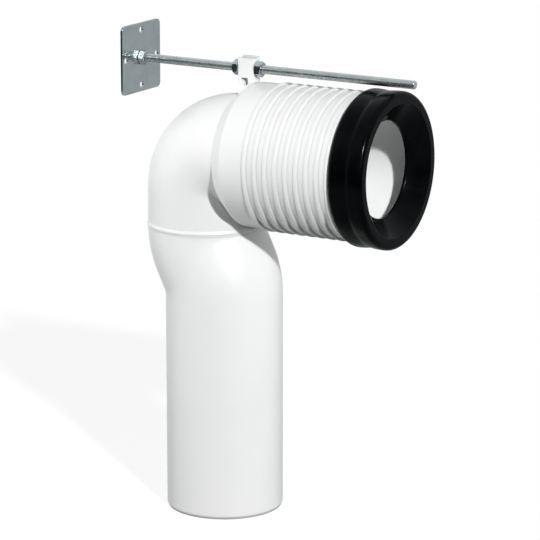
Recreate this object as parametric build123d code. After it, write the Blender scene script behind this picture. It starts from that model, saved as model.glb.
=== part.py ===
from build123d import *
import math
import os

# Toilet pan connector: an elbow welded to an offset outlet leg, with a rubber pan seal and a wall bracket.
# Millimetres. The origin is the centre of the outlet spigot's end, +Z up, +X along the inlet to the pan.

# Waste pipe
PIPE_OUTER_R = 55.0
PIPE_WALL = 3.4

# Outlet leg: a straight spigot, a sideways offset of the axis and a straight neck
SPIGOT_STRAIGHT = 205.7
OFFSET_RISE = 39.0
OFFSET_SHIFT = 19.0
OFFSET_INSIDE_R = 0.5
NECK_STRAIGHT = 1.8
SPIGOT_TAPER_LENGTH = 3.0
SPIGOT_TAPER_DEPTH = 1.2

# Butt weld between the leg and the elbow
BEAD_HEIGHT = 0.9
BEAD_HALF_WIDTH = 1.7
COLLAR_ABOVE_WELD = 2.8

# Elbow: the outside radius of its bend is this plus the pipe's radius
ELBOW_BEND_R = 36.0
ELBOW_LAND = 3.0

# Inlet collar, a step wider than the pipe, with a conical shoulder
COLLAR_LENGTH = 152.0
COLLAR_STEP = 12.2
COLLAR_WALL = 3.5
SHOULDER_LENGTH = 14.8
SHOULDER_R = 3.0

# Ring ribs between the collar's plain band and the seal, as many as fit
PLAIN_BAND = 39.1
RIB_PITCH = 10.7
RIB_WIDTH = 5.0
RIB_HEIGHT = 1.7
RIB_SEAL_GAP = 0.5

# Rubber pan seal, with its thicknesses measured from the bore that grips the collar
SEAL_OVERLAP = 21.5
SEAL_RIM_DEPTH = 12.5
SEAL_STRETCH_GAP = 0.1
SEAL_REAR_EDGE = 1.4
SEAL_BULGE = 5.0
SEAL_BULGE_SETBACK = 6.0
SEAL_WAIST = 3.8
SEAL_LIP = 4.9
SEAL_LIP_LAND = 1.0
SEAL_EDGE_R = 4.5
SEAL_RIM_WIDTH = 10.7
SEAL_MOUTH_EDGE_R = 1.5
THROAT_R = 44.6
THROAT_LAND = 3.2
THROAT_DEPTH = 15.5
THROAT_FRONT_EDGE_R = 1.0
THROAT_BACK_EDGE_R = 0.8

# Threaded rod and nuts, M8
ROD_R = 4.0
ROD_LENGTH = 292.0
ROD_END_CHAMFER = 0.8
ROD_SEAL_CLEARANCE = 3.7
THREAD_CLEARANCE = 0.05
NUT_WALL = 2.5
NUT_THICKNESS = 6.5
NUT_CHAMFER_LAND = 0.8
NUT_COUNTERSINK = 0.5
NUT_FLAT_SIDEWAYS = 30.0
NUT_CORNER_SIDEWAYS = 0.0

# Lug that carries the rod, with its walls measured from the rod's hole
LUG_OVERHANG = 1.0
LUG_LENGTH = 17.0
LUG_HOLE_CLEARANCE = 0.5
LUG_CHEEK = 1.5
LUG_CROWN = 5.2
LUG_LIP_HEIGHT = 1.2
LUG_LIP_WIDTH = 4.0
LUG_EDGE_R = 0.8
LUG_WEB = 1.6

# Cored-out pocket in each side of the lug, under the hole
POCKET_ROOF = 3.8
POCKET_HEIGHT = 7.7
POCKET_SIDE_HEIGHT = 5.3
POCKET_INSET = 3.2
POCKET_WIDTH = 7.9
POCKET_TOE = 4.2

# Wall plate
PLATE_SIZE = 65.0
PLATE_THICKNESS = 2.0
PLATE_CORNER_R = 5.0
PLATE_EDGE_R = 0.4
PLATE_HOLE_R = 3.0
PLATE_HOLE_COUNT = 4
PLATE_HOLE_INSET = 6.5
PLATE_REACH = 111.0

# Radii that follow from the sizes
PIPE_INNER_R = PIPE_OUTER_R - PIPE_WALL
COLLAR_OUTER_R = PIPE_OUTER_R + COLLAR_STEP
COLLAR_INNER_R = COLLAR_OUTER_R - COLLAR_WALL
SEAL_BORE_R = COLLAR_OUTER_R + SEAL_STRETCH_GAP
SEAL_BULGE_R = SEAL_BORE_R + SEAL_BULGE
LUG_HOLE_R = ROD_R + LUG_HOLE_CLEARANCE
NUT_BORE_R = ROD_R + THREAD_CLEARANCE

# Places that follow from the sizes
OFFSET_BEND_R = PIPE_OUTER_R + OFFSET_INSIDE_R
OFFSET_TURN = math.atan2(OFFSET_SHIFT, OFFSET_RISE)
OFFSET_TRIM = OFFSET_BEND_R * math.tan(OFFSET_TURN / 2)
SPIGOT_TOP_Z = SPIGOT_STRAIGHT + OFFSET_TRIM
NECK_Z = SPIGOT_TOP_Z + OFFSET_RISE
WELD_Z = NECK_Z + OFFSET_TRIM + NECK_STRAIGHT
INLET_Z = WELD_Z + COLLAR_ABOVE_WELD + COLLAR_OUTER_R
ELBOW_X = -OFFSET_SHIFT
COLLAR_REAR_X = ELBOW_X + ELBOW_BEND_R + ELBOW_LAND
SHOULDER_END_X = COLLAR_REAR_X + SHOULDER_LENGTH
SHOULDER_SLOPE = SHOULDER_LENGTH / COLLAR_STEP
COLLAR_END_X = COLLAR_REAR_X + COLLAR_LENGTH
SEAL_REAR_X = COLLAR_END_X - SEAL_OVERLAP
SEAL_FRONT_X = COLLAR_END_X + SEAL_RIM_DEPTH
ROD_Z = INLET_Z + SEAL_BULGE_R + ROD_SEAL_CLEARANCE + ROD_R
LUG_REAR_X = COLLAR_REAR_X - LUG_OVERHANG
LUG_FRONT_X = LUG_REAR_X + LUG_LENGTH
PLATE_BACK_X = LUG_REAR_X - PLATE_REACH
PLATE_FRONT_X = PLATE_BACK_X + PLATE_THICKNESS

INLET_AXIS = Axis((0, 0, INLET_Z), (1, 0, 0))
INLET_PLANE = Plane((0, 0, INLET_Z), x_dir=(1, 0, 0), z_dir=(0, -1, 0))
ACROSS_ROD = Plane((0, 0, ROD_Z), x_dir=(0, 1, 0), z_dir=(1, 0, 0))
ON_BASE = (Align.CENTER, Align.CENTER, Align.MIN)


# Pipes

def straight_run(radius, start, end):
    """A round bar between two points."""
    run = end - start
    return Plane(start, z_dir=run) * Cylinder(radius, run.length, align=ON_BASE)


def bend(radius, bend_r, corner, arrive, leave):
    """The outside of a tight bend: a disc swung about the bend's centre, kept to the outer side of it."""
    turn = arrive.get_angle(leave)
    hinge = arrive.cross(leave).normalized()
    start = corner - arrive * (bend_r * math.tan(math.radians(turn / 2)))
    outward = arrive.cross(hinge).normalized()
    centre = start - outward * bend_r
    disc = Pos(bend_r, 0) * Circle(radius)
    outer_side = Rectangle(2 * (bend_r + radius), 4 * radius, align=(Align.MIN, Align.CENTER))
    section = Plane(centre, x_dir=outward, z_dir=arrive) * (disc & outer_side)
    return revolve(section, Axis(centre, hinge), revolution_arc=turn)


def bent_bar(radius, points, bend_r):
    """A round bar along straight runs, with every corner rounded on its outside and sharp on its inside."""
    path = [Vector(x, 0, z) for x, z in points]
    headings = [(b - a).normalized() for a, b in zip(path, path[1:])]
    trims = [0.0]
    for arrive, leave in zip(headings, headings[1:]):
        trims.append(bend_r * math.tan(math.radians(arrive.get_angle(leave) / 2)))
    trims.append(0.0)
    pieces = []
    for i, heading in enumerate(headings):
        start = path[i] + heading * trims[i]
        end = path[i + 1] - heading * trims[i + 1]
        pieces.append(straight_run(radius, start, end))
        if i + 1 < len(headings):
            pieces.append(bend(radius, bend_r, path[i + 1], heading, headings[i + 1]))
    return pieces[0].fuse(*pieces[1:])


def bead_half(side):
    """Half of the weld bead, above the weld with side 1 and below it with side -1."""
    arc_r = (BEAD_HALF_WIDTH ** 2 + BEAD_HEIGHT ** 2) / (2 * BEAD_HEIGHT)
    root_r = PIPE_OUTER_R - PIPE_WALL / 2
    half = (Align.MIN, Align.MIN if side > 0 else Align.MAX)
    crest = Pos(PIPE_OUTER_R + BEAD_HEIGHT - arc_r, 0) * Circle(arc_r)
    window = Pos(root_r, 0) * Rectangle(PIPE_WALL / 2 + BEAD_HEIGHT, BEAD_HALF_WIDTH, align=half)
    root = Pos(root_r, 0) * Rectangle(PIPE_WALL / 2, BEAD_HALF_WIDTH, align=half)
    section = (crest & window) + root
    plane = Plane((ELBOW_X, 0, WELD_Z), x_dir=(1, 0, 0), z_dir=(0, -1, 0))
    return revolve(plane * section, Axis((ELBOW_X, 0, WELD_Z), (0, 0, 1)))


# Outlet leg

def leg_bar(radius):
    """The leg's round form: spigot, sideways offset and neck."""
    points = [(0, 0), (0, SPIGOT_TOP_Z), (ELBOW_X, NECK_Z), (ELBOW_X, WELD_Z)]
    return bent_bar(radius, points, OFFSET_BEND_R)


def spigot_taper():
    """The ring cut away at the spigot's end so that it starts easily in a socket."""
    blank = Cylinder(PIPE_OUTER_R + PIPE_WALL, SPIGOT_TAPER_LENGTH, align=ON_BASE)
    cone = Cone(PIPE_OUTER_R - SPIGOT_TAPER_DEPTH, PIPE_OUTER_R, SPIGOT_TAPER_LENGTH, align=ON_BASE)
    return blank - cone


def outlet_leg():
    """The leg, cut square where it is welded to the elbow."""
    outside = split(leg_bar(PIPE_OUTER_R), Plane((0, 0, WELD_Z)), keep=Keep.BOTTOM)
    return outside + bead_half(-1) - leg_bar(PIPE_INNER_R) - spigot_taper()


# Inlet elbow

def elbow_bar(radius, end_x):
    """The elbow's round form, from the weld to a place along the inlet."""
    points = [(ELBOW_X, WELD_Z), (ELBOW_X, INLET_Z), (end_x, INLET_Z)]
    return bent_bar(radius, points, ELBOW_BEND_R)


def rib_arc(left_x):
    """The rounded crest of one ring rib."""
    left = (left_x, COLLAR_OUTER_R)
    crest = (left_x + RIB_WIDTH / 2, COLLAR_OUTER_R + RIB_HEIGHT)
    right = (left_x + RIB_WIDTH, COLLAR_OUTER_R)
    return ThreePointArc(left, crest, right)


def rib_starts():
    """Where the ribs start, from the plain band to the seal."""
    first = COLLAR_REAR_X + PLAIN_BAND
    last = SEAL_REAR_X - RIB_SEAL_GAP - RIB_WIDTH
    count = int((last - first) / RIB_PITCH) + 1
    return [first + i * RIB_PITCH for i in range(count)]


def collar_form():
    """The collar's outside: conical shoulder from inside the pipe's wall, plain band and ring ribs."""
    root_r = PIPE_OUTER_R - PIPE_WALL / 2
    root_x = COLLAR_REAR_X - PIPE_WALL / 2 * SHOULDER_SLOPE
    ribs = [rib_arc(left_x) for left_x in rib_starts()]
    grooves = [Line(left @ 1, right @ 0) for left, right in zip(ribs, ribs[1:])]
    shoulder = FilletPolyline((root_x, root_r), (SHOULDER_END_X, COLLAR_OUTER_R), ribs[0] @ 0,
                              radius=SHOULDER_R)
    rest = Polyline(ribs[-1] @ 1, (COLLAR_END_X, COLLAR_OUTER_R), (COLLAR_END_X, 0), (root_x, 0),
                    shoulder @ 0)
    return revolve(INLET_PLANE * make_face([shoulder, *ribs, *grooves, rest]), INLET_AXIS)


def collar_bore():
    """The wide bore that takes the pan's spout, with a cone along the inside of the shoulder."""
    wall_shift = COLLAR_WALL * math.hypot(1, SHOULDER_SLOPE)
    start_x = COLLAR_REAR_X + wall_shift - PIPE_OUTER_R * SHOULDER_SLOPE
    cone_end_x = start_x + COLLAR_INNER_R * SHOULDER_SLOPE
    outline = Polyline((start_x, 0), (cone_end_x, COLLAR_INNER_R), (COLLAR_END_X, COLLAR_INNER_R),
                       (COLLAR_END_X, 0), close=True)
    return revolve(INLET_PLANE * make_face(outline), INLET_AXIS)


def lug_block():
    """The lug before its hole: a block with a raised lip along one side of its top."""
    base = INLET_Z + PIPE_OUTER_R - PIPE_WALL / 2 - ROD_Z
    half = LUG_HOLE_R + LUG_CHEEK
    top = LUG_HOLE_R + LUG_CROWN
    lip_y = half - LUG_LIP_WIDTH
    lip_top = top + LUG_LIP_HEIGHT
    outline = Polyline((-half, base), (-half, top), (lip_y, top), (lip_y, lip_top), (half, lip_top),
                       (half, base), close=True)
    block = extrude(ACROSS_ROD.offset(LUG_REAR_X) * make_face(outline), LUG_LENGTH)
    corners = block.edges().filter_by(Axis.Z).filter_by(lambda edge: edge.length > 2 * LUG_LIP_HEIGHT)
    return fillet(corners, LUG_EDGE_R)


def lug_pocket(side):
    """The four-sided pocket in one side of the lug, under the hole."""
    left = LUG_REAR_X + POCKET_INSET
    right = left + POCKET_WIDTH
    top = ROD_Z - LUG_HOLE_R - POCKET_ROOF
    outline = Polyline((left, top), (right, top), (right, top - POCKET_SIDE_HEIGHT),
                       (left + POCKET_TOE, top - POCKET_HEIGHT), close=True)
    face = Plane((0, side * LUG_WEB / 2, 0), x_dir=(1, 0, 0), z_dir=(0, -1, 0)) * make_face(outline)
    return extrude(face, -side * (LUG_HOLE_R + LUG_CHEEK))


def rod_hole():
    return ACROSS_ROD.offset(LUG_REAR_X) * Cylinder(LUG_HOLE_R, LUG_LENGTH, align=ON_BASE)


def inlet_elbow():
    outside = elbow_bar(PIPE_OUTER_R, COLLAR_REAR_X + COLLAR_WALL) + collar_form() + bead_half(1)
    lug = lug_block() - lug_pocket(1) - lug_pocket(-1) - rod_hole()
    passage = elbow_bar(PIPE_INNER_R, COLLAR_REAR_X + 2 * COLLAR_WALL) + collar_bore()
    return outside + lug - passage


# Rubber pan seal

def pan_seal():
    """A sleeve stretched over the collar's end, with a cone that narrows to the throat."""
    lip_r = SEAL_BORE_R + SEAL_LIP
    mouth_r = lip_r - SEAL_RIM_WIDTH
    throat_x = SEAL_FRONT_X - THROAT_DEPTH
    rear_edge = (SEAL_REAR_X, SEAL_BORE_R + SEAL_REAR_EDGE)
    bulge = (SEAL_REAR_X + SEAL_BULGE_SETBACK, SEAL_BULGE_R)
    waist = ((SEAL_REAR_X + SEAL_FRONT_X) / 2, SEAL_BORE_R + SEAL_WAIST)
    lip = (SEAL_FRONT_X - SEAL_EDGE_R - SEAL_LIP_LAND, lip_r)
    skin = Spline(rear_edge, bulge, waist, lip, tangents=[(0, 1), (1, 0)])
    inside = FilletPolyline(
        skin @ 1, (SEAL_FRONT_X, lip_r), (SEAL_FRONT_X, mouth_r), (throat_x, THROAT_R),
        (throat_x - THROAT_LAND, THROAT_R), (COLLAR_END_X, COLLAR_INNER_R),
        radius=[SEAL_EDGE_R, SEAL_MOUTH_EDGE_R, THROAT_FRONT_EDGE_R, THROAT_BACK_EDGE_R])
    seat = Polyline(inside @ 1, (COLLAR_END_X, SEAL_BORE_R), (SEAL_REAR_X, SEAL_BORE_R), skin @ 0)
    return revolve(INLET_PLANE * make_face([skin, inside, seat]), INLET_AXIS)


# Wall bracket

def threaded_rod():
    bar = ACROSS_ROD.offset(PLATE_BACK_X) * Cylinder(ROD_R, ROD_LENGTH, align=ON_BASE)
    return chamfer(bar.edges().filter_by(GeomType.CIRCLE), ROD_END_CHAMFER)


def hex_nut(seat_x, turn):
    """A hex nut whose rear face is at seat_x, chamfered at both ends and turned about the rod."""
    flat_r = ROD_R + NUT_WALL
    corner_r = flat_r * 2 / math.sqrt(3)
    face_r = flat_r - NUT_CHAMFER_LAND
    drop = (corner_r - face_r) * math.tan(math.radians(30))
    prism = extrude(RegularPolygon(flat_r, 6, major_radius=False, rotation=turn), NUT_THICKNESS)
    half = Polyline((0, 0), (face_r, 0), (corner_r, drop), (corner_r, NUT_THICKNESS - drop),
                    (face_r, NUT_THICKNESS), (0, NUT_THICKNESS), close=True)
    envelope = revolve(Plane.XZ * make_face(half), Axis.Z)
    nut = (prism & envelope) - Cylinder(NUT_BORE_R, NUT_THICKNESS, align=ON_BASE)
    circles = nut.edges().filter_by(GeomType.CIRCLE)
    rims = circles.filter_by(lambda edge: edge.radius < NUT_BORE_R + THREAD_CLEARANCE)
    return ACROSS_ROD.offset(seat_x) * chamfer(rims, NUT_COUNTERSINK)


def wall_plate():
    """A square plate with rounded corners, screw holes and the hole that the rod's end is screwed into."""
    hole_circle_r = PLATE_SIZE / 2 - PLATE_HOLE_INSET
    slab = extrude(RectangleRounded(PLATE_SIZE, PLATE_SIZE, PLATE_CORNER_R), PLATE_THICKNESS)
    slab = fillet(slab.faces().sort_by(Axis.Z)[-1].edges(), PLATE_EDGE_R)
    screw_holes = [place * Circle(PLATE_HOLE_R) for place in PolarLocations(hole_circle_r, PLATE_HOLE_COUNT)]
    holes = extrude(Sketch() + screw_holes + Circle(NUT_BORE_R), PLATE_THICKNESS)
    return ACROSS_ROD.offset(PLATE_BACK_X) * (slab - holes)


# All pieces

def build():
    return {
        "inlet_elbow": inlet_elbow(),
        "outlet_leg": outlet_leg(),
        "pan_seal": pan_seal(),
        "threaded_rod": threaded_rod(),
        "rear_lug_nut": hex_nut(LUG_REAR_X - NUT_THICKNESS, NUT_FLAT_SIDEWAYS),
        "front_lug_nut": hex_nut(LUG_FRONT_X, NUT_FLAT_SIDEWAYS),
        "wall_plate": wall_plate(),
        "plate_nut": hex_nut(PLATE_FRONT_X, NUT_CORNER_SIDEWAYS),
    }


def main():
    os.makedirs("parts", exist_ok=True)
    for name, piece in build().items():
        export_step(piece, f"parts/{name}.step")


main()
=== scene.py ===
"""Looks, light and camera for the toilet pan connector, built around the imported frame. Metres."""
import math

import bmesh
import bpy
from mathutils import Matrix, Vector, noise


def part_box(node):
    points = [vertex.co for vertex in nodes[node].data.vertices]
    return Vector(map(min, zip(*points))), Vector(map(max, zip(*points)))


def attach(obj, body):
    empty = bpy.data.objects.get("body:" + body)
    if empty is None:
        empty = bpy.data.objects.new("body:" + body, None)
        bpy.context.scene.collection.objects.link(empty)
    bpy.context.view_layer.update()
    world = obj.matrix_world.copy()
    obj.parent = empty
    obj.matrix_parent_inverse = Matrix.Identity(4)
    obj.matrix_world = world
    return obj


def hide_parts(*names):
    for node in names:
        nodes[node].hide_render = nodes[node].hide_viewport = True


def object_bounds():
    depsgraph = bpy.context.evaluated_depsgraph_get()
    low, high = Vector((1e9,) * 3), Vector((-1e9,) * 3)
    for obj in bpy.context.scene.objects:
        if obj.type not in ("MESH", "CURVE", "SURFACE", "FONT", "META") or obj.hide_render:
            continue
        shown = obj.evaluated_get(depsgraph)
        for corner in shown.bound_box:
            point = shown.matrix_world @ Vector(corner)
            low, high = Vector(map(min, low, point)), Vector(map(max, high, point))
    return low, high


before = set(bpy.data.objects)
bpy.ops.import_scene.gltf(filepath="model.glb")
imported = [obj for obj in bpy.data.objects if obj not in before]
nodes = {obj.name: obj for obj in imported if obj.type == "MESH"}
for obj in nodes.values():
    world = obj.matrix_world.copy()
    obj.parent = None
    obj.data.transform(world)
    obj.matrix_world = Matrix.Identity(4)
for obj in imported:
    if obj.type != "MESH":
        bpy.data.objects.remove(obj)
cad_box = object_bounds()

MM = 0.001

# Camera, at the photograph's viewing angle
CAMERA_AZIMUTH = math.radians(30.58)
CAMERA_ELEVATION = math.radians(13.83)
CAMERA_DISTANCE = 2.852
CAMERA_TARGET = Vector((0.01731, 0.05491, 0.21838))
CAMERA_LENS = 200.0
CAMERA_SENSOR = 36.0

# Lamps: azimuth, elevation and size in degrees, seen from the object, strength, and if they mirror
LAMPS = {
    "key": (52.0, 29.0, 3.0, 2.74, True),
    "left_fill": (-82.0, 6.0, 70.0, 1.4, False),
    "front_fill": (-45.0, 5.0, 70.0, 1.92, False),
    "card": (-38.0, 40.0, 25.0, 0.07, True),
    "rim": (112.0, -2.0, 70.0, 1.78, False),
}

# Narrow lamp beside the key that shines into the seal's throat: the beam is in degrees
SNOOT_DISTANCE = 1.2
SNOOT_BEAM = 4.6
SNOOT_RADIUS = 0.03
SNOOT_STRENGTH = 27.0

# Room round the object: its soft light, and how bright its sides are in mirrors
ROOM_LIGHT = 0.01
ROOM_DARK = 0.03
ROOM_CEILING = 0.63
ROOM_BACKDROP = 0.53
ROOM_WALL = 0.6
ROOM_TINT = (0.94, 0.98, 1.0, 1.0)

# Where the ceiling, backdrop and wall start and where they are full, along Z, Y and X
CEILING_SPAN = (0.1, 0.8)
BACKDROP_SPAN = (-0.1, 0.7)
WALL_SPAN = (-0.58, -0.85)

# Floor: where its shadows start to fade, its glow and share of lamp light, and what it throws back
FLOOR_RADIUS = 1.3
FLOOR_CLEAR = 0.8
FLOOR_SEGMENTS = 96
FLOOR_GLOW = 0.87
FLOOR_PALE = 0.2
FLOOR_BOUNCE = 0.08
FLOOR_MIRRORED = 0.42
FLOOR_TINT = (0.92, 0.99, 1.0, 1.0)

# White plastic: its two tones, gloss, reliefs, and the painted shade that darkens creases up to some
# width
PLASTIC_DULL = (0.85, 0.86, 0.86)
PLASTIC_BRIGHT = (0.89, 0.895, 0.89)
PLASTIC_ROUGHNESS = (0.30, 0.40)
PLASTIC_IOR = 1.49
PLASTIC_PEEL = 0.03 * MM
PLASTIC_SCUFFS = 0.04 * MM
# Colour of the painted shade in creases
PLASTIC_CREASE_SHADE = (0.52, 0.53, 0.54)
CREASE_WIDTH = 3 * MM
CREASE_RANGE = (0.5, 0.95)
CREASE_SAMPLES = 8

# Black rubber: bare and with bloom, its gloss and reliefs
RUBBER_BARE = (0.0006, 0.0008, 0.001)
RUBBER_BLOOM = (0.002, 0.0023, 0.0028)
RUBBER_ROUGHNESS = (0.17, 0.25)
RUBBER_SPECULAR = 0.048
RUBBER_RINGS = 0.03 * MM
RUBBER_GRAIN = 0.02 * MM

# Zinc-plated steel: two tones on the plate and nuts and two on the paler rod, their gloss and relief
STEEL_STAINED = (0.45, 0.50, 0.52)
STEEL_CLEAN = (0.53, 0.57, 0.58)
ROD_STAINED = (0.58, 0.62, 0.62)
ROD_CLEAN = (0.68, 0.71, 0.70)
PLATE_ROUGHNESS = (0.15, 0.24)
NUT_ROUGHNESS = (0.16, 0.26)
ROD_ROUGHNESS = (0.24, 0.36)
STEEL_GRAIN = 0.001 * MM

# The range that most of a noise lies in
NOISE_RANGE = (0.3, 0.7)

# Edges sharper than this aren't smoothed
SHARP_EDGE = math.radians(35.0)

# M8 thread: crest and root start and end at these shares of the pitch
THREAD_PITCH = 1.25 * MM
THREAD_DEPTH = 0.68 * MM
THREAD_CREST = (0.0, 0.125)
THREAD_ROOT = (0.4375, 0.6875)
THREAD_END_CHAMFER = 0.8 * MM
THREAD_STEPS = 20
THREAD_SPARE_TURNS = 2

# Weld roll: a soft uneven swelling over the weld bead, with a lip that stops at a drip of plastic
ROLL_RISE = 0.95 * MM
ROLL_UPPER = 3.4 * MM
ROLL_LOWER = 4.2 * MM
ROLL_ROOT = 0.4 * MM
ROLL_HOLLOW = 1.6
ROLL_STEPS = 720
ROLL_SECTION_STEPS = 24
LIP_START = math.radians(228.0)
LIP_END = math.radians(273.0)
LIP_RISE = 0.75 * MM
LIP_DROP = 1.7 * MM
DRIP_LENGTH = math.radians(8.0)
DRIP_DROP = 1.3 * MM


# Materials

class Paint:
    """A node material in the making: its nodes, its shader and the object's own coordinates in metres."""

    def __init__(self, name):
        self.material = bpy.data.materials.new(name)
        self.material.use_nodes = True
        self.tree = self.material.node_tree
        self.shader = self.tree.nodes["Principled BSDF"]
        self.place = self.tree.nodes.new("ShaderNodeTexCoord").outputs["Object"]

    def join(self, source, target):
        self.tree.links.new(source, target)

    def feed(self, socket, value):
        self.join(value, self.shader.inputs[socket])

    def noise(self, stretch, detail=2.0):
        """Noise from 0 to 1, with as many lumps per metre along each axis as stretch says."""
        mapping = self.tree.nodes.new("ShaderNodeMapping")
        mapping.inputs["Scale"].default_value = stretch
        self.join(self.place, mapping.inputs["Vector"])
        texture = self.tree.nodes.new("ShaderNodeTexNoise")
        texture.inputs["Scale"].default_value = 1.0
        texture.inputs["Detail"].default_value = detail
        self.join(mapping.outputs["Vector"], texture.inputs["Vector"])
        return texture.outputs["Fac"]

    def remap(self, value, before, after):
        """A value moved from one range to another, and held inside it."""
        node = self.tree.nodes.new("ShaderNodeMapRange")
        node.inputs["From Min"].default_value = before[0]
        node.inputs["From Max"].default_value = before[1]
        node.inputs["To Min"].default_value = after[0]
        node.inputs["To Max"].default_value = after[1]
        self.join(value, node.inputs["Value"])
        return node.outputs["Result"]

    def spread(self, value, low, high):
        """Noise stretched so that its usual range runs from low to high."""
        return self.remap(value, NOISE_RANGE, (low, high))

    def colours(self, value, first, second):
        """A colour between two, by a value from 0 to 1."""
        node = self.tree.nodes.new("ShaderNodeMix")
        node.data_type = "RGBA"
        node.inputs["A"].default_value = (*first, 1.0)
        node.inputs["B"].default_value = (*second, 1.0)
        self.join(value, node.inputs["Factor"])
        return node.outputs["Result"]

    def painted_crease_shade(self, clean, shaded, width):
        """A colour with painted shade in creases up to some width, darkened where ambient occlusion finds
        them.
        """
        crease = self.tree.nodes.new("ShaderNodeAmbientOcclusion")
        crease.samples = CREASE_SAMPLES
        crease.inputs["Distance"].default_value = width
        node = self.tree.nodes.new("ShaderNodeMix")
        node.data_type = "RGBA"
        node.inputs["A"].default_value = (*shaded, 1.0)
        self.join(clean, node.inputs["B"])
        self.join(self.remap(crease.outputs["AO"], CREASE_RANGE, (0.0, 1.0)), node.inputs["Factor"])
        return node.outputs["Result"]

    def bump(self, height, depth, under=None):
        """A surface relief of that depth in metres, on top of another one if there is one."""
        node = self.tree.nodes.new("ShaderNodeBump")
        node.inputs["Strength"].default_value = 1.0
        node.inputs["Distance"].default_value = depth
        self.join(height, node.inputs["Height"])
        if under is not None:
            self.join(under, node.inputs["Normal"])
        return node.outputs["Normal"]


def white_plastic(name, streaks):
    """Satin white polypropylene with fine streaks along the way it was drawn or filled."""
    paint = Paint(name)
    clouds = paint.spread(paint.noise((14, 14, 14), detail=3.0), 0.0, 1.0)
    clean = paint.colours(clouds, PLASTIC_DULL, PLASTIC_BRIGHT)
    # Painted shade: the base colour darkens in creases, at the rib feet, the weld and the collar's
    # shoulder
    paint.feed("Base Color", paint.painted_crease_shade(clean, PLASTIC_CREASE_SHADE, CREASE_WIDTH))
    scuffs = paint.noise(streaks, detail=4.0)
    paint.feed("Roughness", paint.spread(scuffs, *PLASTIC_ROUGHNESS))
    peel = paint.bump(paint.noise((420, 420, 420)), PLASTIC_PEEL)
    paint.feed("Normal", paint.bump(scuffs, PLASTIC_SCUFFS, under=peel))
    paint.shader.inputs["IOR"].default_value = PLASTIC_IOR
    return paint.material


def black_rubber(name):
    """Satin black rubber with faint moulding rings and a dusty bloom."""
    paint = Paint(name)
    bloom = paint.spread(paint.noise((60, 60, 60), detail=4.0), 0.0, 1.0)
    paint.feed("Base Color", paint.colours(bloom, RUBBER_BARE, RUBBER_BLOOM))
    paint.feed("Roughness", paint.spread(bloom, *RUBBER_ROUGHNESS))
    rings = paint.bump(paint.noise((900, 0, 0)), RUBBER_RINGS)
    paint.feed("Normal", paint.bump(paint.noise((900, 900, 900)), RUBBER_GRAIN, under=rings))
    paint.shader.inputs["Specular IOR Level"].default_value = RUBBER_SPECULAR
    return paint.material


def zinc_steel(name, streaks, roughness, stained=STEEL_STAINED, clean=STEEL_CLEAN):
    """Zinc-plated steel: bluish, with warmer stains and uneven gloss."""
    paint = Paint(name)
    stains = paint.spread(paint.noise((70, 70, 70), detail=4.0), 0.0, 1.0)
    paint.feed("Base Color", paint.colours(stains, stained, clean))
    grain = paint.noise(streaks, detail=3.0)
    paint.feed("Roughness", paint.spread(grain, *roughness))
    paint.feed("Normal", paint.bump(grain, STEEL_GRAIN))
    paint.shader.inputs["Metallic"].default_value = 1.0
    return paint.material


def dress(piece, material):
    piece.data.materials.clear()
    piece.data.materials.append(material)


# Meshes

def to_mesh(bm, name):
    mesh = bpy.data.meshes.new(name)
    bm.to_mesh(mesh)
    bm.free()
    mesh.shade_smooth()
    mesh.set_sharp_from_angle(angle=SHARP_EDGE)
    return mesh


def thread_rows(bm, start, end, centre, radius):
    """The thread's profile, set round the rod's axis step by step, with spare turns past both ends."""
    root = radius - THREAD_DEPTH
    profile = [(along, radius) for along in THREAD_CREST] + [(along, root) for along in THREAD_ROOT]
    turns = math.ceil((end - start) / THREAD_PITCH) + 2 * THREAD_SPARE_TURNS
    rows = []
    for step in range(turns * THREAD_STEPS):
        turn = step / THREAD_STEPS
        angle = 2 * math.pi * turn
        row = []
        for along, r in profile:
            x = start + (turn - THREAD_SPARE_TURNS + along) * THREAD_PITCH
            reach = radius - THREAD_END_CHAMFER + max(0.0, min(x - start, end - x))
            r = min(r, reach)
            row.append(bm.verts.new((x, centre.y + r * math.cos(angle), centre.z + r * math.sin(angle))))
        rows.append(row)
    return rows


def thread_mesh(start, end, centre, radius):
    """A rod along X with a right-hand thread cut over its whole length and chamfered ends."""
    bm = bmesh.new()
    rows = thread_rows(bm, start, end, centre, radius)
    for here, there in zip(rows, rows[1:]):
        for p in range(len(here) - 1):
            bm.faces.new((here[p], here[p + 1], there[p + 1], there[p]))
    for step in range(len(rows) - THREAD_STEPS - 1):
        here, there = rows[step], rows[step + 1]
        next_here, next_there = rows[step + THREAD_STEPS], rows[step + THREAD_STEPS + 1]
        bm.faces.new((here[-1], next_here[0], next_there[0], there[-1]))
    for x, outward in ((start, -1), (end, 1)):
        geometry = bm.verts[:] + bm.edges[:] + bm.faces[:]
        away = (outward, 0, 0)
        bmesh.ops.bisect_plane(bm, geom=geometry, plane_co=(x, 0, 0), plane_no=away, clear_outer=True)
    bmesh.ops.holes_fill(bm, edges=[edge for edge in bm.edges if edge.is_boundary])
    bmesh.ops.recalc_face_normals(bm, faces=bm.faces[:])
    return to_mesh(bm, "rod_thread")


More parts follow.
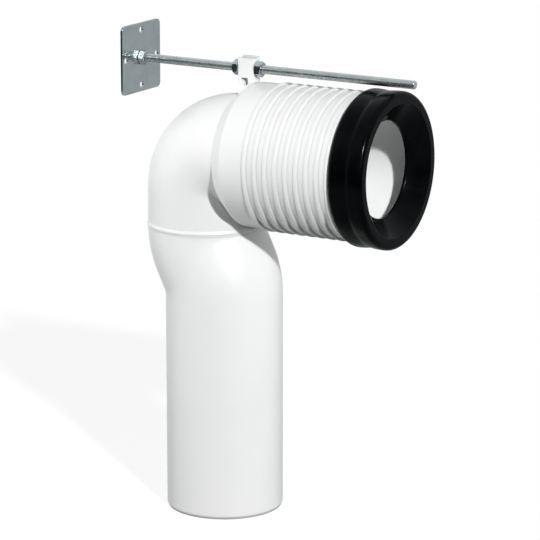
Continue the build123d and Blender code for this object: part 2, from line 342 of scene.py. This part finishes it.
def roll_section(angle, out):
    """Heights above the weld and rises above the pipe, for one place round the weld."""
    crest = ROLL_RISE * (1.0 + 0.05 * noise.noise(out * 14.0))
    lower = ROLL_LOWER * (1.0 + 0.06 * noise.noise(out * 9.0 + Vector((0, 0, 3))))
    along_drip = (angle - LIP_END) / DRIP_LENGTH
    if 0.0 <= along_drip <= 1.0:
        lower += DRIP_DROP * (1.0 - along_drip) ** 2
    has_lip = LIP_START <= angle < LIP_END
    section = []
    for i in range(ROLL_SECTION_STEPS + 1):
        along = 1.0 - 2.0 * i / ROLL_SECTION_STEPS
        z = along * (ROLL_UPPER if along > 0 else lower)
        if along > 0:
            rise = crest * math.cos(along * math.pi / 2) ** 2
        elif has_lip:
            rise = max(LIP_RISE, crest * (1.0 + along)) if z > -LIP_DROP else -ROLL_ROOT / 2
        else:
            rise = crest * (1.0 + along) ** ROLL_HOLLOW
        section.append((z, rise))
    return section + [(-ROLL_LOWER / 2, -ROLL_ROOT), (ROLL_UPPER / 2, -ROLL_ROOT)]


def roll_mesh(centre, radius):
    """The weld's roll as a closed ring, from its upper foot over the crest to its lower foot."""
    bm = bmesh.new()
    rings = []
    for step in range(ROLL_STEPS):
        angle = 2 * math.pi * step / ROLL_STEPS
        out = Vector((math.cos(angle), math.sin(angle), 0.0))
        section = roll_section(angle, out)
        ring = [bm.verts.new(centre + out * (radius + rise) + Vector((0, 0, z))) for z, rise in section]
        rings.append(ring)
    for here, there in zip(rings, rings[1:] + rings[:1]):
        for i in range(len(here)):
            j = (i + 1) % len(here)
            bm.faces.new((here[i], there[i], there[j], here[j]))
    bmesh.ops.recalc_face_normals(bm, faces=bm.faces[:])
    return to_mesh(bm, "weld_roll")


# Pieces of the object

def new_piece(name, mesh, body):
    piece = bpy.data.objects.new(name, mesh)
    bpy.context.scene.collection.objects.link(piece)
    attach(piece, body)
    return piece


def dress_nodes():
    dress(nodes["outlet_leg"], white_plastic("pipe_plastic_drawn", (160, 160, 5)))
    dress(nodes["inlet_elbow"], white_plastic("pipe_plastic_moulded", (60, 60, 60)))
    dress(nodes["pan_seal"], black_rubber("seal_rubber"))
    dress(nodes["wall_plate"], zinc_steel("plate_zinc", (40, 400, 40), PLATE_ROUGHNESS))
    nut_zinc = zinc_steel("nut_zinc", (300, 300, 300), NUT_ROUGHNESS)
    for name in ("rear_lug_nut", "front_lug_nut", "plate_nut"):
        dress(nodes[name], nut_zinc)


def add_rod():
    low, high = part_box("threaded_rod")
    mesh = thread_mesh(low.x, high.x, (low + high) / 2, (high.z - low.z) / 2)
    rod = new_piece("rod_thread", mesh, "wall_bracket")
    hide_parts("threaded_rod")
    dress(rod, zinc_steel("rod_zinc", (500, 500, 500), ROD_ROUGHNESS, ROD_STAINED, ROD_CLEAN))


def add_weld_roll():
    low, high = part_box("outlet_leg")
    bead_radius = (high.y - low.y) / 2
    centre = Vector((low.x + bead_radius, 0.0, high.z))
    roll = new_piece("weld_roll", roll_mesh(centre, high.x), "connector")
    dress(roll, nodes["outlet_leg"].data.materials[0])


# Lamps

def direction(azimuth, elevation):
    """From the object towards a place round it. Azimuth 0 is -Y, and 90 degrees is +X."""
    level = math.cos(elevation)
    return Vector((math.sin(azimuth) * level, -math.cos(azimuth) * level, math.sin(elevation)))


def new_lamp(name, kind, strength, towards):
    """A lamp that shines from that direction."""
    data = bpy.data.lights.new(name, kind)
    data.energy = strength
    lamp = bpy.data.objects.new(name, data)
    bpy.context.scene.collection.objects.link(lamp)
    lamp.rotation_mode = "QUATERNION"
    lamp.rotation_quaternion = towards.to_track_quat("Z", "Y")
    return lamp


def add_lamp(name, azimuth, elevation, size, strength, mirrors):
    towards = direction(math.radians(azimuth), math.radians(elevation))
    lamp = new_lamp(name, "SUN", strength, towards)
    lamp.data.angle = math.radians(size)
    lamp.visible_glossy = mirrors


def add_snoot():
    """A narrow beam along the key's light, so that the white walls behind the black throat are bright."""
    low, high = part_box("pan_seal")
    throat = Vector((high.x, (low.y + high.y) / 2, (low.z + high.z) / 2))
    azimuth, elevation = LAMPS["key"][:2]
    towards = direction(math.radians(azimuth), math.radians(elevation))
    lamp = new_lamp("snoot", "SPOT", SNOOT_STRENGTH, towards)
    lamp.data.spot_size = math.radians(SNOOT_BEAM)
    lamp.data.shadow_soft_size = SNOOT_RADIUS
    lamp.location = throat + towards * SNOOT_DISTANCE
    lamp.visible_camera = False


# Room and floor

def glow(tree, kind, strength, colour=(1.0, 1.0, 1.0, 1.0)):
    """A shader that shines by itself."""
    node = tree.nodes.new(kind)
    node.inputs["Color"].default_value = colour
    node.inputs["Strength"].default_value = strength
    return node.outputs[0]


def matt(tree, grey):
    node = tree.nodes.new("ShaderNodeBsdfDiffuse")
    node.inputs["Color"].default_value = (grey, grey, grey, 1.0)
    return node.outputs["BSDF"]


def choose(tree, share, first, second):
    """The first shader where the share is 0, and the second where it is 1."""
    node = tree.nodes.new("ShaderNodeMixShader")
    tree.links.new(share, node.inputs["Fac"])
    tree.links.new(first, node.inputs[1])
    tree.links.new(second, node.inputs[2])
    return node.outputs["Shader"]


def plus(tree, kind, first, second):
    node = tree.nodes.new(kind)
    tree.links.new(first, node.inputs[0])
    tree.links.new(second, node.inputs[1])
    return node.outputs[0]


def ease(tree, value, span, low, high):
    """Runs softly from low to high while the value runs over the span."""
    node = tree.nodes.new("ShaderNodeMapRange")
    node.interpolation_type = "SMOOTHSTEP"
    node.inputs["From Min"].default_value = span[0]
    node.inputs["From Max"].default_value = span[1]
    node.inputs["To Min"].default_value = low
    node.inputs["To Max"].default_value = high
    tree.links.new(value, node.inputs["Value"])
    return node.outputs["Result"]


def mirrored_room(tree):
    """What shiny surfaces see of the room: dark, with a pale ceiling, backdrop and wall."""
    place = tree.nodes.new("ShaderNodeTexCoord")
    axes = tree.nodes.new("ShaderNodeSeparateXYZ")
    tree.links.new(place.outputs["Generated"], axes.inputs["Vector"])
    ceiling = ease(tree, axes.outputs["Z"], CEILING_SPAN, ROOM_DARK, ROOM_CEILING)
    backdrop = ease(tree, axes.outputs["Y"], BACKDROP_SPAN, 0.0, ROOM_BACKDROP)
    wall = ease(tree, axes.outputs["X"], WALL_SPAN, 0.0, ROOM_WALL)
    bright = plus(tree, "ShaderNodeMath", plus(tree, "ShaderNodeMath", ceiling, backdrop), wall)
    node = tree.nodes.new("ShaderNodeBackground")
    node.inputs["Color"].default_value = ROOM_TINT
    tree.links.new(bright, node.inputs["Strength"])
    return node.outputs["Background"]


def add_room():
    """White for the camera, soft light for the object, and a room with pale sides in mirrors."""
    world = bpy.data.worlds.new("room")
    bpy.context.scene.world = world
    world.use_nodes = True
    tree = world.node_tree
    tree.nodes.clear()
    rays = tree.nodes.new("ShaderNodeLightPath").outputs
    white = glow(tree, "ShaderNodeBackground", 1.0)
    soft = glow(tree, "ShaderNodeBackground", ROOM_LIGHT)
    shader = choose(tree, rays["Is Glossy Ray"], soft, mirrored_room(tree))
    shader = choose(tree, rays["Is Transmission Ray"], shader, white)
    shader = choose(tree, rays["Is Camera Ray"], shader, white)
    output = tree.nodes.new("ShaderNodeOutputWorld")
    tree.links.new(shader, output.inputs["Surface"])


def seen_floor(tree):
    """White with the object's shadow, which fades out towards the floor's rim."""
    shine = glow(tree, "ShaderNodeEmission", FLOOR_GLOW)
    lit = plus(tree, "ShaderNodeAddShader", shine, matt(tree, FLOOR_PALE))
    place = tree.nodes.new("ShaderNodeTexCoord")
    reach = tree.nodes.new("ShaderNodeVectorMath")
    reach.operation = "LENGTH"
    tree.links.new(place.outputs["Object"], reach.inputs[0])
    fade = ease(tree, reach.outputs["Value"], (FLOOR_CLEAR, FLOOR_RADIUS), 0.0, 1.0)
    return choose(tree, fade, lit, glow(tree, "ShaderNodeEmission", 1.0))


def floor_material():
    """White where it is seen, mid grey in mirrors, and dull to other light."""
    material = bpy.data.materials.new("floor")
    material.use_nodes = True
    tree = material.node_tree
    tree.nodes.clear()
    rays = tree.nodes.new("ShaderNodeLightPath").outputs
    mirrored = glow(tree, "ShaderNodeEmission", FLOOR_MIRRORED, FLOOR_TINT)
    unseen = choose(tree, rays["Is Glossy Ray"], matt(tree, FLOOR_BOUNCE), mirrored)
    shader = choose(tree, rays["Is Camera Ray"], unseen, seen_floor(tree))
    output = tree.nodes.new("ShaderNodeOutputMaterial")
    tree.links.new(shader, output.inputs["Surface"])
    return material


def add_floor():
    bm = bmesh.new()
    bmesh.ops.create_circle(bm, cap_ends=True, radius=FLOOR_RADIUS, segments=FLOOR_SEGMENTS)
    mesh = bpy.data.meshes.new("floor")
    bm.to_mesh(mesh)
    bm.free()
    floor = bpy.data.objects.new("floor", mesh)
    bpy.context.scene.collection.objects.link(floor)
    floor.data.materials.append(floor_material())
    floor.location.z = cad_box[0].z


def add_camera():
    data = bpy.data.cameras.new("camera")
    data.lens = CAMERA_LENS
    data.sensor_width = CAMERA_SENSOR
    camera = bpy.data.objects.new("camera", data)
    bpy.context.scene.collection.objects.link(camera)
    back = direction(CAMERA_AZIMUTH, CAMERA_ELEVATION)
    camera.location = CAMERA_TARGET + back * CAMERA_DISTANCE
    camera.rotation_mode = "QUATERNION"
    camera.rotation_quaternion = back.to_track_quat("Z", "Y")
    bpy.context.scene.camera = camera


dress_nodes()
add_rod()
add_weld_roll()
for lamp_name, lamp_values in LAMPS.items():
    add_lamp(lamp_name, *lamp_values)
add_snoot()
add_room()
add_floor()
add_camera()
bpy.context.scene.view_settings.view_transform = "Standard"
